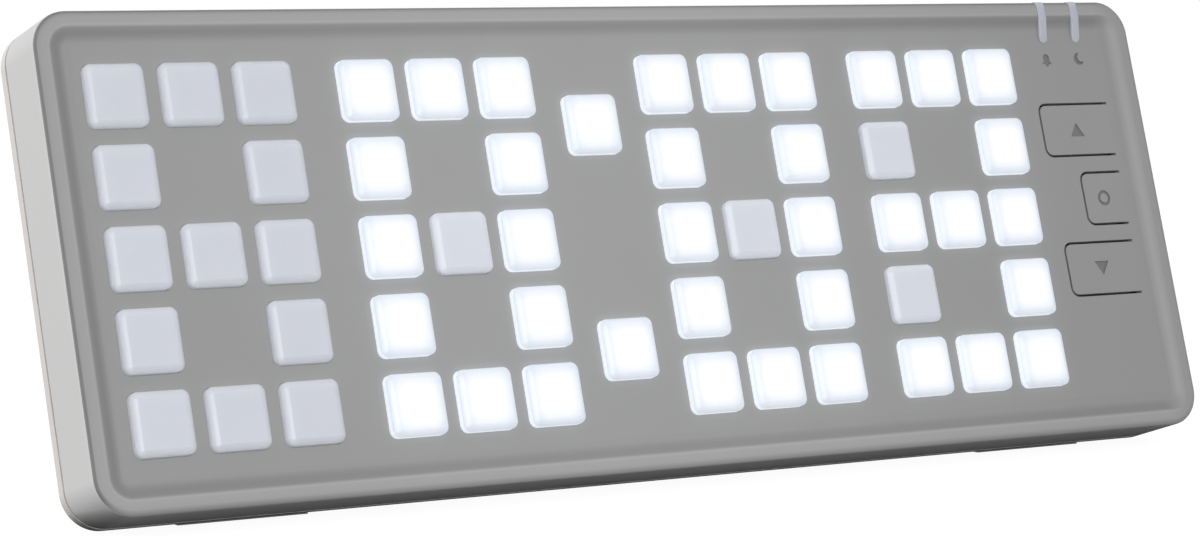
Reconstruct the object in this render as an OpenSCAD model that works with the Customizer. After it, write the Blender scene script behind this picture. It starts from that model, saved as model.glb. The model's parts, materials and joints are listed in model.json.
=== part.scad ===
// Digital alarm clock: thin slab with square key windows, leaning back on a fold-out leg

/* [Display windows] */
// Side of one square window
window = 10.7; // [9:0.1:12]
// Gap between neighbouring windows of a digit
window_gap = 2.9; // [2:0.1:5]
// Corner radius of a window
window_r = 1.4; // [0.5:0.1:3]
// Height of a window above the panel
window_proud = 1.5; // [0.6:0.1:2.5]
// Rounding of the window edge
window_edge_r = 1.3; // [0.3:0.1:1.5]
// Gap between two digits
digit_gap = 8.9; // [7.5:0.1:14]
// Gap on either side of the colon
colon_gap = 5.85; // [4:0.05:10]

/* [Case] */
// Left and right border around windows and buttons
side_margin = 7.95; // [7.5:0.05:14]
// Upper and lower border around the windows
edge_margin = 9.2; // [8.9:0.1:14]
// Outer corner radius
corner_r = 6.5; // [6:0.1:10]
// Rounding of the outer rear edge
edge_r = 1.2; // [0.6:0.1:1.6]
// Rounding of the outer edge of the rim
rim_edge_r = 1; // [0.3:0.1:1.2]
// Width of the raised rim
rim_w = 3.2; // [2:0.1:3.4]
// Height of the rim above the panel
rim_h = 1; // [0.5:0.1:1.5]
// Width of the soft slope between rim and panel
cove_w = 2.2; // [1.5:0.1:3]
// Side wall thickness
wall = 2; // [1.6:0.1:2.2]
// Panel thickness
panel_t = 1.6; // [1.3:0.1:2.4]
// Rear plate thickness
rear_t = 2; // [1.8:0.1:2.6]
// Depth of the rear cover's visible edge
cover_edge = 3.1; // [2.3:0.1:3.6]
// Width of the dark joint between the shells
joint_gap = 0.4; // [0.2:0.05:0.6]
// Lean of the face, from upright
lean = 17.2; // [15.5:0.1:22]

/* [Buttons] */
// Gap between the last window and the buttons
button_gap = 5.25; // [4:0.05:9]
// Length of the up and down tabs
button_w = 17.05; // [15:0.05:24]
// Length of the mode tab
mode_w = 9.95; // [9:0.05:14]
// Height of a tab
button_h = 10.55; // [9:0.05:13]
// Gap between two tabs
button_step = 3.05; // [2.5:0.05:6]
// Height of the middle tab above the centre of the face
button_mid = 2.95; // [0:0.05:5]
// Width of the slot around a tab
slot_w = 0.4; // [0.3:0.05:0.8]
// Corner radius of a tab opening
button_r = 1.8; // [1.2:0.1:2.5]
// Thickness of the flexing web
web_t = 0.7; // [0.5:0.05:1]
// Depth of the symbols
symbol_d = 0.25; // [0.1:0.05:0.5]
// Distance from hinge to switch, up and down tabs
long_arm = 11.5; // [10:0.1:13]
// Distance from hinge to switch, mode tab
short_arm = 6.2; // [5.9:0.1:7]

/* [Indicators] */
// Width of a light strip
strip_w = 1.8; // [1.5:0.1:3]
// Distance between the two strips
strip_step = 8; // [7:0.1:12]
// Distance from the second strip to the hinge line of the buttons
strip_inset = 4.8; // [3.5:0.1:6]
// Length of the strip on the face, from the upper edge
strip_l = 8; // [7:0.1:9]
// Length of the strip on the upper side
strip_back = 4.5; // [3.5:0.1:6]
// Height of the strip above the surface
strip_proud = 0.15; // [0.1:0.05:0.5]

/* [Inside] */
// Thickness of the window plates
carrier_t = 0.8; // [0.6:0.1:1.2]
// Depth of the light shield
shield_d = 3.6; // [3.4:0.1:6]
// Thickness of the circuit board
board_t = 1.6; // [1:0.1:2]
// Room behind the board
back_space = 4.4; // [4.3:0.1:7]
// Radius of the screw posts
post_r = 2.1; // [1.8:0.1:2.3]
// Screw shank radius
screw_r = 0.9; // [0.7:0.05:1]
// Screw head radius
head_r = 1.8; // [1.5:0.05:1.9]
// Side of the clock chip
chip_side = 10; // [6:0.5:11]
// Thickness of the clock chip
chip_t = 1.4; // [0.9:0.1:2]
// Width of a driver chip
driver_w = 10; // [6:0.5:11]
// Height of a driver chip
driver_h = 7.5; // [4:0.5:8]
// Thickness of a driver chip
driver_t = 1.8; // [1:0.1:2.4]
// Width of the crystal can
crystal_w = 4.6; // [3:0.1:5]
// Length of the crystal can
crystal_l = 10; // [8:0.5:12]
// Height of the crystal can
crystal_t = 2.6; // [2:0.1:3.5]
// Radius of a capacitor
capacitor_r = 3.1; // [2:0.1:4]
// Height of a capacitor
capacitor_l = 3.9; // [3:0.1:4]
// Radius of the buzzer
buzzer_r = 6; // [4:0.1:6.5]
// Height of the buzzer
buzzer_l = 3.2; // [2.4:0.1:4]
// Clearance between two pieces on the board
board_clear = 3; // [1.5:0.1:3.5]
// Coin cell radius
cell_r = 10; // [8:0.5:10]
// Coin cell thickness
cell_t = 3.2; // [2.5:0.1:3.2]

/* [Back] */
// Distance from the left edge to the supply inlet
socket_in = 36; // [30:1:42]
// Height of the supply inlet above the lower edge
socket_up = 22; // [18:1:26]
// Distance from the right edge to the backup cell
cell_in = 40; // [36:1:46]
// Distance from a side edge to the middle of a base pad
pad_in = 32; // [24:1:40]
// Length of a base pad
pad_l = 24; // [16:1:30]

/* [Leg] */
// Leg width
stand_w = 44; // [30:1:60]
// Leg thickness
stand_t = 2; // [1.8:0.1:2.2]
// Height of the leg pivot above the lower edge
pivot_up = 70; // [66:0.5:73]
// Distance from the folded tip to the lower edge
tip_margin = 2; // [1.8:0.1:2.2]
// Radius of the pivot pin
pin_r = 0.8; // [0.6:0.05:0.9]
// Radius of the pivot barrel
barrel_r = 1.5; // [1.4:0.05:1.7]

/* [Hidden] */
$fn = 64;
fit = 0.15;
play = 0.4;
seam = 0.05;
strip_fit = 0.05;
joint_deep = 0.7;
lip_t = 1.2;
lip_l = 1.5;
carrier_margin = 0.9;
shield_margin = 1.1;
shield_fit = 0.4;
board_margin = 1.5;
symbol_drop = 3.2;
led_w = 3.5;
led_h = 2.8;
led_t = 1.2;
lamp_w = 2;
lamp_h = 1.2;
lamp_t = 0.8;
lamp_in = 5.3;
lamp_gap = 1;
flange_t = 0.6;
flange_h = 2.6;
flange_over = 1;
tab_post_r = 1.3;
web_l = 2;
pitch = window + window_gap;
digit_w = 2 * pitch + window;
body_w = 2 * side_margin + 4 * digit_w + 2 * digit_gap + 2 * colon_gap + window + button_gap + button_w;
body_h = 2 * edge_margin + 4 * pitch + window;
first_x = -body_w / 2 + side_margin + window / 2;
digit_x = [
    first_x,
    first_x + digit_w + digit_gap,
    first_x + 2 * digit_w + digit_gap + 2 * colon_gap + window,
    first_x + 3 * digit_w + 2 * digit_gap + 2 * colon_gap + window
];
colon_x = digit_x[1] + digit_w + colon_gap;
colon_z = 1.48 * pitch;
cells = [for (c = [0 : 2], r = [-2 : 2]) if (c != 1 || abs(r) != 1) [c, r]];
gap_x = [
    digit_x[0] + digit_w - window / 2 + digit_gap / 2,
    digit_x[2] + digit_w - window / 2 + digit_gap / 2
];
hinge_x = body_w / 2 - side_margin;

// Depths, measured back from the front of the rim
panel_back = rim_h + panel_t;
carrier_back = panel_back + carrier_t;
board_front = carrier_back + shield_d;
board_back = board_front + board_t;
cover_front = board_back + back_space;
body_d = cover_front + rear_t;
part_d = body_d - cover_edge;
cove_r = (cove_w * cove_w + rim_h * rim_h) / (2 * rim_h);
panel_inset = rim_w + cove_w;

// Fixing points
post_in_x = 6.4;
post_in_z = 5.75;
post_from_leg = 28;
last_screw_in = 5;
post_root = 0.2;
head_deep = 1.1;
head_fit = 0.2;
slot_half = 0.25;
post_x = body_w / 2 - post_in_x;
post_z = body_h / 2 - post_in_z;
mid_post_x = stand_w / 2 + post_from_leg;
case_points = [for (x = [-post_x, -mid_post_x, mid_post_x, post_x], z = [-post_z, post_z]) [x, z]];
board_points = [
    [gap_x[0], 1.5 * pitch],
    [gap_x[0], -1.5 * pitch],
    [gap_x[1], 1.5 * pitch],
    [gap_x[1], -1.5 * pitch],
    [hinge_x - last_screw_in, -2 * pitch]
];
shield_top = 2 * pitch + window / 2 + shield_margin;

// Places on the back of the board, counted from the board screws
screw_room = head_r + board_clear;
crystal_x = gap_x[0] + screw_room + crystal_w / 2;
chip_x = crystal_x + crystal_w / 2 + board_clear + chip_side / 2;
chip_z = -1.3 * pitch;
driver_x = [gap_x[0] - screw_room - driver_w / 2, gap_x[1] + screw_room + driver_w / 2];
driver_z = 1.3 * pitch;
capacitor_x = [gap_x[0] - 2 * capacitor_r - board_clear, gap_x[0]];

// Switches behind the tabs
switch_side = 6;
switch_h = 2.5;
switch_floor = 1;
plunger_r = 1.65;
plunger_l = 1.6;
plunger_out = 0.6;
plunger_fit = 0.05;
plunger_gap = 0.1;
plunger_top = board_front - switch_h - plunger_out;
switch_x = [hinge_x - long_arm, hinge_x - short_arm, hinge_x - long_arm];
switch_z = [button_mid + button_h + button_step, button_mid, button_mid - button_h - button_step];

// Light strips
strip_x = [hinge_x - strip_inset - strip_step, hinge_x - strip_inset];
strip_low = body_h / 2 - strip_l;
strip_lamp_z = body_h / 2 - lamp_in;

// Places on the back
socket_x = -body_w / 2 + socket_in;
socket_z = -body_h / 2 + socket_up;
cell_x = body_w / 2 - cell_in;
cell_z = 0;
cell_floor = 0.4;
cell_front = board_back + cell_floor;
cell_back = cell_front + cell_t;
cell_step = 0.3;
holder_t = 1.2;
holder_l = 2.8;
clip_t = 0.3;
clip_w = 4.4;
clip_room = 0.4;
clip_hold = 1.5;
door_margin = 2;
door_ledge = 1;
door_t = 1;
door_slot_l = 10;
door_slot_w = 1.5;
door_slot_deep = 0.6;
notch_r = 3;
notch_deep = 0.8;
door_r = cell_r + door_margin;
socket_w = 8.94;
socket_h = 3.26;
socket_r = 1.6;
socket_t = 0.3;
socket_floor = 0.9;
socket_sunk = 0.4;
tongue_w = 6.7;
tongue_t = 0.7;
tongue_sunk = 1.2;
inlet_w = 9.7;
inlet_h = 4;
inlet_r = 1.9;
sound_r = 0.7;
sound_ring = 2.6;
buzzer_x = gap_x[0] + screw_room + 2 * buzzer_r;
buzzer_z = driver_z;

// Leg: pivot, folded length and opening angle that brings its tip down to the table
pad_proud = 0.15;
pad_over = 0.1;
pad_up = 1.4;
pad_r = stand_t / 2;
pad_h = 1.5;
pad_front = body_d - edge_r - pad_over;
shift_z = pad_proud + edge_r + (body_d - edge_r) * sin(lean) + (body_h / 2 - edge_r) * cos(lean);
barrel_sunk = 0.1;
pivot_y = body_d - barrel_r - barrel_sunk;
pivot_z = pivot_up - body_h / 2;
leg_out = body_d - stand_t / 2 - pivot_y;
leg_l = pivot_up - tip_margin - pad_r;
pivot_h = shift_z - pivot_y * sin(lean) + pivot_z * cos(lean);
leg_reach = sqrt(leg_l * leg_l + leg_out * leg_out);
leg_tilt = acos((pivot_h - pad_r) / leg_reach) - atan(leg_out / leg_l);
stand_open = lean + leg_tilt;
stop_r = 1.9;
stop_gap = 0.08;
stop_edge = 0.05;
leg_top = stop_r - stop_edge;
tip_r = 8;
thumb_w = 18;
thumb_h = 5;
thumb_r = 2.4;
thumb_up = 16;
thumb_deep = 0.5;
recess_y = body_d - stand_t - play;
barrel_room = 0.3;
pocket_low = 1.6;
pocket_y = pivot_y - barrel_r - barrel_room;
skin = 1.2;
skin_in = 4.5;
lug_w = 5;
lug_h = 5.2;
pin_in = 3;
finger_r = 1.6;
finger_up = 5;
finger_over = 7;

// Middle of the standing clock, front to back
low_y = edge_r * cos(lean) - (body_h / 2 - edge_r) * sin(lean) - edge_r;
tip_y = pivot_y * cos(lean) + pivot_z * sin(lean) + leg_l * sin(leg_tilt) + leg_out * cos(leg_tilt) + pad_r;
shift_y = -(low_y + tip_y) / 2;

// Leaning pose of the whole slab
module lean_back() {
    translate([0, shift_y, shift_z])
        rotate([-lean, 0, 0])
            children();
}

// Outline in the face plane, given thickness from depth y0 to y1
module layer(y0, y1) {
    translate([0, y1, 0])
        rotate([90, 0, 0])
            linear_extrude(y1 - y0)
                children();
}

// Profile drawn as depth and height, given width along x
module across(w) {
    rotate([90, 0, 90])
        linear_extrude(w, center = true)
            children();
}

// Round bar through the depth
module peg(r, y0, y1) {
    translate([0, y0, 0])
        rotate([-90, 0, 0])
            cylinder(r = r, h = y1 - y0);
}

module block(x0, x1, y0, y1, z0, z1) {
    translate([x0, y0, z0])
        cube([x1 - x0, y1 - y0, z1 - z0]);
}

module round_rect(w, h, r) {
    square([w - 2 * r, h], center = true);
    square([w, h - 2 * r], center = true);
    for (sx = [-1, 1], sz = [-1, 1])
        translate([sx * (w / 2 - r), sz * (h / 2 - r)])
            circle(r);
}

// Sweep of a profile around the case outline; profile x runs inward, profile y runs back
module frame_ring() {
    mirror([0, 1, 0])
        rotate([90, 0, 0])
            for (q = [0 : 3]) {
                long = q % 2 == 0 ? body_w : body_h;
                short = q % 2 == 0 ? body_h : body_w;
                rotate([0, 0, q * 90]) {
                    translate([0, -short / 2, 0])
                        rotate([90, 0, 90])
                            linear_extrude(long - 2 * corner_r, center = true)
                                children();
                    translate([long / 2 - corner_r, corner_r - short / 2, 0])
                        rotate([0, 0, -90])
                            rotate_extrude(angle = 90)
                                translate([corner_r, 0])
                                    mirror([1, 0])
                                        children();
                }
            }
}

module at_points(points) {
    for (p = points)
        translate([p[0], 0, p[1]])
            children();
}

module at_windows(x0) {
    for (c = cells)
        translate([x0 + c[0] * pitch, 0, c[1] * pitch])
            children();
}

module at_colon() {
    for (s = [-1, 1])
        translate([colon_x, 0, s * colon_z])
            children();
}

module at_all_windows() {
    for (x = digit_x)
        at_windows(x)
            children();
    at_colon()
        children();
}

module window_plan(grow) {
    for (x = digit_x, c = cells)
        translate([x + c[0] * pitch, c[1] * pitch])
            round_rect(window + 2 * grow, window + 2 * grow, window_r + grow);
    for (s = [-1, 1])
        translate([colon_x, s * colon_z])
            round_rect(window + 2 * grow, window + 2 * grow, window_r + grow);
}

// Tab outline: rounded on the free side, square at the hinge
module tab_plan(w, inset) {
    h = button_h - 2 * inset;
    r = button_r - inset;
    translate([hinge_x - w + inset + r, -h / 2])
        square([w - inset - r, h]);
    translate([hinge_x - w + inset, r - h / 2])
        square([r + 0.1, h - 2 * r]);
    for (s = [-1, 1])
        translate([hinge_x - w + inset + r, s * (h / 2 - r)])
            circle(r);
}

module tab_openings() {
    translate([0, switch_z[0]])
        tab_plan(button_w, 0);
    translate([0, switch_z[1]])
        tab_plan(mode_w, 0);
    translate([0, switch_z[2]])
        tab_plan(button_w, 0);
}

module strip_plan(grow) {
    w = strip_w + 2 * grow;
    translate([-w / 2, strip_low + strip_w / 2])
        square([w, strip_l]);
    translate([0, strip_low + strip_w / 2])
        circle(w / 2);
}

// Rim, slope and side wall of the front shell
module front_profile() {
    difference() {
        union() {
            translate([rim_edge_r, 0])
                square([panel_inset - rim_edge_r, panel_back]);
            translate([0, rim_edge_r])
                square([wall, part_d - rim_edge_r]);
            translate([rim_edge_r, rim_edge_r])
                circle(rim_edge_r);
        }
        translate([panel_inset, rim_h - cove_r])
            circle(cove_r);
    }
}

module bell_plan() {
    translate([0, 0.3])
        circle(0.75);
    translate([-0.75, -0.7])
        square([1.5, 1]);
    translate([-1.1, -0.95])
        square([2.2, 0.3]);
    translate([0, -1.1])
        circle(0.35);
}

module moon_plan() {
    difference() {
        circle(1.2);
        translate([0.7, 0.35])
            circle(0.95);
    }
}

module front_housing() {
    color("#96928f")
    lean_back()
        difference() {
            union() {
                frame_ring()
                    front_profile();
                layer(rim_h, panel_back)
                    difference() {
                        round_rect(body_w - 2 * panel_inset, body_h - 2 * panel_inset,
                            corner_r - panel_inset);
                        window_plan(fit);
                        tab_openings();
                    }
                at_points(case_points)
                    peg(post_r, panel_back - post_root, cover_front);
                at_points(board_points)
                    peg(post_r, panel_back - post_root, board_front);
            }
            at_points(case_points)
                peg(screw_r + 0.05, board_front - 2, cover_front + 1);
            at_points(board_points)
                peg(screw_r + 0.05, panel_back + 0.8, board_front + 1);
            for (x = strip_x)
                translate([x, 0, 0]) {
                    layer(-1, panel_back + 1)
                        strip_plan(strip_fit);
                    block(-strip_w / 2 - strip_fit, strip_w / 2 + strip_fit, panel_back,
                        strip_back + strip_fit,
                        body_h / 2 - wall - 1, body_h / 2 + 1);
                }
            translate([strip_x[0], 0, strip_low - symbol_drop])
                layer(rim_h - 1, rim_h + symbol_d)
                    bell_plan();
            translate([strip_x[1], 0, strip_low - symbol_drop])
                layer(rim_h - 1, rim_h + symbol_d)
                    moon_plan();
        }
}

// One window: square plan with rounded corners and a rounded front edge
module window_profile() {
    front = rim_h - window_proud;
    translate([-window / 2, front + window_edge_r])
        square([window, panel_back + carrier_t / 2 - front - window_edge_r]);
    translate([window_edge_r - window / 2, front])
        square([window - 2 * window_edge_r, window_edge_r + 0.1]);
    for (s = [-1, 1])
        translate([s * (window / 2 - window_edge_r), front + window_edge_r])
            circle(window_edge_r);
}

module window_block() {
    intersection() {
        layer(rim_h - window_proud - 1, panel_back + carrier_t / 2)
            round_rect(window, window, window_r);
        linear_extrude(window + 2, center = true)
            window_profile();
        rotate([0, 90, 0])
            linear_extrude(window + 2, center = true)
                window_profile();
    }
}

module digit_windows(x0) {
    color("#e9ecf2")
    lean_back() {
        at_windows(x0)
            window_block();
        translate([x0 + pitch, 0, 0])
            layer(panel_back, carrier_back)
                round_rect(digit_w + 2 * carrier_margin, 4 * pitch + window + 2 * carrier_margin, 1);
    }
}

module hour_tens_windows() {
    digit_windows(digit_x[0]);
}

module hour_units_windows() {
    digit_windows(digit_x[1]);
}

module minute_tens_windows() {
    digit_windows(digit_x[2]);
}

module minute_units_windows() {
    digit_windows(digit_x[3]);
}

module colon_windows() {
    color("#e9ecf2")
    lean_back() {
        at_colon()
            window_block();
        translate([colon_x, 0, 0])
            layer(panel_back, carrier_back)
                round_rect(window + 2 * carrier_margin, 2 * colon_z + window + 2 * carrier_margin, 1);
    }
}

// Black grid with one light well per window
module light_shield() {
    x0 = digit_x[0] - window / 2 - shield_margin;
    x1 = digit_x[3] + 2 * pitch + window / 2 + shield_margin;
    color("#2a2b2d")
    lean_back()
        layer(carrier_back, board_front)
            difference() {
                translate([(x0 + x1) / 2, 0])
                    round_rect(x1 - x0, 2 * shield_top, 1);
                window_plan(shield_fit);
                for (p = board_points)
                    translate(p)
                        circle(post_r + play);
            }
}

module main_board() {
    color("#2f6b45")
    lean_back()
        layer(board_front, board_back)
            difference() {
                round_rect(body_w - 2 * (wall + board_margin), body_h - 2 * (wall + board_margin),
                    2 * board_margin);
                for (p = case_points)
                    translate(p)
                        circle(post_r + play);
                for (p = board_points)
                    translate(p)
                        circle(screw_r + head_fit);
            }
}

module display_leds() {
    color("#f4e9b8")
    lean_back()
        at_all_windows()
            block(-led_w / 2, led_w / 2, board_front - led_t, board_front, -led_h / 2, led_h / 2);
}

module indicator_leds() {
    color("#f4e9b8")
    lean_back()
        for (x = strip_x)
            translate([x, 0, strip_lamp_z])
                block(-lamp_w / 2, lamp_w / 2, board_front - lamp_t, board_front, -lamp_h / 2, lamp_h / 2);
}

// Strip that runs down from the upper side over the rim to the panel, with a stem to its lamp
module strip_profile() {
    top = body_h / 2;
    difference() {
        union() {
            polygon([
                [-strip_proud, top - rim_edge_r],
                [-strip_proud, top - rim_w],
                [rim_h - strip_proud, strip_low],
                [panel_back, strip_low],
                [panel_back, top - rim_edge_r]
            ]);
            translate([rim_edge_r, top - wall - 1])
                square([strip_back - rim_edge_r, wall + 1 + strip_proud]);
            translate([rim_edge_r, top - rim_edge_r])
                circle(rim_edge_r + strip_proud);
        }
        translate([panel_back, strip_low - 2])
            square([strip_back, top - wall - strip_low + 2]);
    }
}

module light_pipe(x) {
    color("#eef1f6")
    lean_back()
        translate([x, 0, 0]) {
            intersection() {
                across(strip_w + 1)
                    strip_profile();
                layer(-2, strip_back + 2)
                    strip_plan(0);
            }
            layer(panel_back, panel_back + flange_t)
                translate([0, strip_lamp_z])
                    round_rect(strip_w + 2 * flange_over, flange_h, flange_over / 2);
            translate([0, 0, strip_lamp_z])
                peg(strip_w / 2 - 2 * strip_fit, panel_back - post_root, board_front - lamp_gap);
        }
}

module alarm_light_pipe() {
    light_pipe(strip_x[0]);
}

module snooze_light_pipe() {
    light_pipe(strip_x[1]);
}

// Tab with a thin flexing web at the hinge, a post for the switch and a sunk symbol
module tab(w, i) {
    color("#96928f")
    lean_back()
        difference() {
            union() {
                translate([0, 0, switch_z[i]])
                    layer(rim_h, panel_back)
                        tab_plan(w, slot_w);
                translate([switch_x[i], 0, switch_z[i]])
                    peg(tab_post_r, panel_back - post_root, plunger_top - plunger_gap);
            }
            block(hinge_x - web_l, hinge_x + 1, rim_h + web_t, panel_back + 1,
                switch_z[i] - button_h, switch_z[i] + button_h);
            translate([hinge_x - w / 2, 0, switch_z[i]])
                layer(rim_h - 1, rim_h + symbol_d)
                    children();
        }
}

module up_button() {
    tab(button_w, 0)
        polygon([[-1.7, -1.2], [1.7, -1.2], [0, 1.5]]);
}

module mode_button() {
    tab(mode_w, 1)
        difference() {
            circle(1.5);
            circle(0.9);
        }
}

module down_button() {
    tab(button_w, 2)
        polygon([[-1.7, 1.2], [1.7, 1.2], [0, -1.5]]);
}

module switch_bodies() {
    color("#3c3d40")
    lean_back()
        for (i = [0 : 2])
            translate([switch_x[i], 0, switch_z[i]])
                difference() {
                    block(-switch_side / 2, switch_side / 2, board_front - switch_h, board_front,
                        -switch_side / 2, switch_side / 2);
                    peg(plunger_r + plunger_fit, board_front - switch_h - 1, board_front - switch_floor);
                }
}

module plunger(i) {
    color("#c9c7c2")
    lean_back()
        translate([switch_x[i], 0, switch_z[i]])
            peg(plunger_r, plunger_top, plunger_top + plunger_l);
}

module up_plunger() {
    plunger(0);
}

module mode_plunger() {
    plunger(1);
}

module down_plunger() {
    plunger(2);
}

module clock_chip() {
    color("#26282b")
    lean_back()
        translate([chip_x, 0, chip_z])
            block(-chip_side / 2, chip_side / 2, board_back, board_back + chip_t,
                -chip_side / 2, chip_side / 2);
}

module driver_chips() {
    color("#26282b")
    lean_back()
        for (x = driver_x)
            translate([x, 0, driver_z])
                block(-driver_w / 2, driver_w / 2, board_back, board_back + driver_t,
                    -driver_h / 2, driver_h / 2);
}

module crystal() {
    color("#c4c6c9")
    lean_back()
        translate([crystal_x, 0, chip_z])
            layer(board_back, board_back + crystal_t)
                round_rect(crystal_w, crystal_l, crystal_w / 2 - 0.1);
}

module capacitors() {
    color("#8c9096")
    lean_back()
        for (x = capacitor_x)
            translate([x, 0, 0])
                peg(capacitor_r, board_back, board_back + capacitor_l);
}

module buzzer() {
    color("#1d1e20")
    lean_back()
        translate([buzzer_x, 0, buzzer_z])
            difference() {
                peg(buzzer_r, board_back, board_back + buzzer_l);
                peg(1, board_back + buzzer_l / 2, board_back + buzzer_l + 1);
            }
}

module power_socket() {
    color("#b9bcc0")
    lean_back()
        translate([socket_x, 0, socket_z]) {
            difference() {
                layer(board_back, body_d - socket_sunk)
                    round_rect(socket_w, socket_h, socket_r);
                layer(board_back + socket_floor, body_d)
                    round_rect(socket_w - 2 * socket_t, socket_h - 2 * socket_t, socket_r - socket_t);
            }
        }
}

module power_tongue() {
    color("#202124")
    lean_back()
        translate([socket_x, 0, socket_z])
            block(-tongue_w / 2, tongue_w / 2, board_back + socket_floor, body_d - tongue_sunk,
                -tongue_t / 2, tongue_t / 2);
}

module cell_holder() {
    color("#26282b")
    lean_back()
        translate([cell_x, 0, cell_z])
            difference() {
                peg(cell_r + holder_t, board_back, board_back + holder_l);
                peg(cell_r + fit, cell_front, board_back + holder_l + 1);
                block(cell_r - 2, cell_r + holder_t + 1, board_back - 1, board_back + holder_l + 1,
                    -clip_w / 2 - clip_room, clip_w / 2 + clip_room);
            }
}

// Bent strip from the board over the edge of the cell
module cell_clip() {
    clip_x = cell_r + 2 * fit;
    color("#c9cbce")
    lean_back()
        translate([cell_x, 0, cell_z]) {
            block(clip_x, clip_x + clip_t, board_back, cell_back + clip_t, -clip_w / 2, clip_w / 2);
            block(cell_r - clip_hold, clip_x + clip_t, cell_back, cell_back + clip_t, -clip_w / 2,
                clip_w / 2);
        }
}

module coin_cell() {
    color("#cfd1d3")
    lean_back()
        translate([cell_x, 0, cell_z])
            union() {
                peg(cell_r - 1, cell_front, cell_back);
                peg(cell_r, cell_front + cell_step, cell_back);
            }
}

module battery_door() {
    color("#bdbab6")
    lean_back()
        translate([cell_x, 0, cell_z])
            difference() {
                union() {
                    peg(door_r, body_d - door_t, body_d);
                    peg(door_r - door_ledge, cell_back + clip_t + 0.2, body_d - door_t / 2);
                }
                block(-door_slot_l / 2, door_slot_l / 2, body_d - door_slot_deep, body_d + 1,
                    -door_slot_w / 2, door_slot_w / 2);
            }
}

// Rear edge strip with a dark joint towards the front shell
module rear_profile() {
    difference() {
        union() {
            translate([0, part_d + joint_gap])
                square([panel_inset, body_d - edge_r - part_d - joint_gap]);
            translate([edge_r, part_d + joint_gap])
                square([panel_inset - edge_r, body_d - part_d - joint_gap]);
            translate([edge_r, body_d - edge_r])
                circle(edge_r);
            translate([joint_deep, part_d + seam])
                square([panel_inset - joint_deep, joint_gap + 0.1 - seam]);
            translate([wall + fit, part_d - lip_l])
                square([lip_t, lip_l + joint_gap + 0.1]);
        }
        translate([wall + fit + lip_t, part_d - 1])
            square([panel_inset, 1 + cover_front - part_d]);
        translate([-1, part_d - 2])
            square([1 + wall + fit, 2 + seam]);
        translate([-1, part_d - 2])
            square([1 + joint_deep, 2 + joint_gap]);
    }
}

// Pocket of the folded leg
module leg_recess(grow) {
    w = stand_w / 2 + play + grow;
    block(-w, w, recess_y - grow, body_d + 1, tip_margin - play - grow - body_h / 2, pivot_z + 1);
    block(-w, w, pocket_y - grow, body_d + 1,
        pivot_z - barrel_r - pocket_low - grow, pivot_z + stop_r + stop_gap + grow);
}

module pad_block() {
    for (s = [-1, 1])
        translate([s * (body_w / 2 - pad_in), 0, 0])
            block(-pad_l / 2, pad_l / 2, pad_front, body_d + pad_over, -body_h / 2 - 2,
                pad_up - body_h / 2);
}

module rear_cover() {
    lug_x = stand_w / 2 + play;
    color("#c4c1bd")
    lean_back()
        difference() {
            union() {
                frame_ring()
                    rear_profile();
                layer(cover_front, body_d)
                    round_rect(body_w - 2 * panel_inset, body_h - 2 * panel_inset, corner_r - panel_inset);
                intersection() {
                    leg_recess(skin);
                    layer(0, cover_front + 0.5)
                        round_rect(body_w - 2 * skin_in, body_h - 2 * skin_in, 2);
                }
                for (s = [-1, 1])
                    translate([s * (lug_x + lug_w / 2), 0, pivot_z])
                        block(-lug_w / 2, lug_w / 2, pocket_y, cover_front + 0.5, -lug_h / 2, lug_h / 2);
            }
            leg_recess(0);
            translate([0, pivot_y, pivot_z])
                rotate([0, 90, 0])
                    cylinder(r = pin_r + 0.02, h = 2 * (lug_x + pin_in + 0.5), center = true);
            translate([0, body_d, tip_margin - body_h / 2 + finger_up])
                rotate([0, 90, 0])
                    cylinder(r = finger_r, h = stand_w + 2 * finger_over, center = true);
            at_points(case_points) {
                peg(post_r + fit, part_d - 2, cover_front);
                peg(screw_r + head_fit, cover_front - 1, body_d + 1);
                peg(head_r + head_fit, body_d - head_deep, body_d + 1);
            }
            translate([socket_x, 0, socket_z])
                layer(cover_front - 1, body_d + 1)
                    round_rect(inlet_w, inlet_h, inlet_r);
            translate([cell_x, 0, cell_z]) {
                peg(door_r + fit, body_d - door_t, body_d + 1);
                peg(door_r - door_ledge + fit, cover_front - 1, body_d);
                translate([0, 0, -door_r])
                    peg(notch_r, body_d - notch_deep, body_d + 1);
            }
            translate([buzzer_x, 0, buzzer_z]) {
                peg(sound_r, cover_front - 1, body_d + 1);
                for (a = [0 : 60 : 300])
                    rotate([0, a, 0])
                        translate([sound_ring, 0, 0])
                            peg(sound_r, cover_front - 1, body_d + 1);
            }
            pad_block();
        }
}

// Leg in its own frame: pivot at the origin, leg hanging down, outer face towards +y
module leg_frame() {
    lean_back()
        translate([0, pivot_y, pivot_z])
            rotate([stand_open, 0, 0])
                children();
}

module stand() {
    out = body_d - pivot_y;
    color("#bdbab6")
    leg_frame()
        difference() {
            union() {
                layer(out - stand_t, out)
                    union() {
                        translate([-stand_w / 2, -leg_l + tip_r])
                            square([stand_w, leg_l - tip_r + leg_top]);
                        translate([tip_r - stand_w / 2, -leg_l + pad_h])
                            square([stand_w - 2 * tip_r, leg_l]);
                        for (s = [-1, 1])
                            translate([s * (stand_w / 2 - tip_r), tip_r + pad_h - leg_l])
                                circle(tip_r);
                    }
                rotate([0, 90, 0])
                    cylinder(r = barrel_r, h = stand_w, center = true);
                block(-stand_w / 2, stand_w / 2, -0.5, out - stand_t + 0.2, 0, leg_top);
            }
            rotate([0, 90, 0])
                cylinder(r = pin_r + 0.05, h = stand_w + 2, center = true);
            rotate([-stand_open, 0, 0])
                block(-stand_w, stand_w, -4, 6, stop_r, 8);
            layer(out - thumb_deep, out + 1)
                translate([0, thumb_up - leg_l])
                    round_rect(thumb_w, thumb_h, thumb_r);
        }
}

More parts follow.
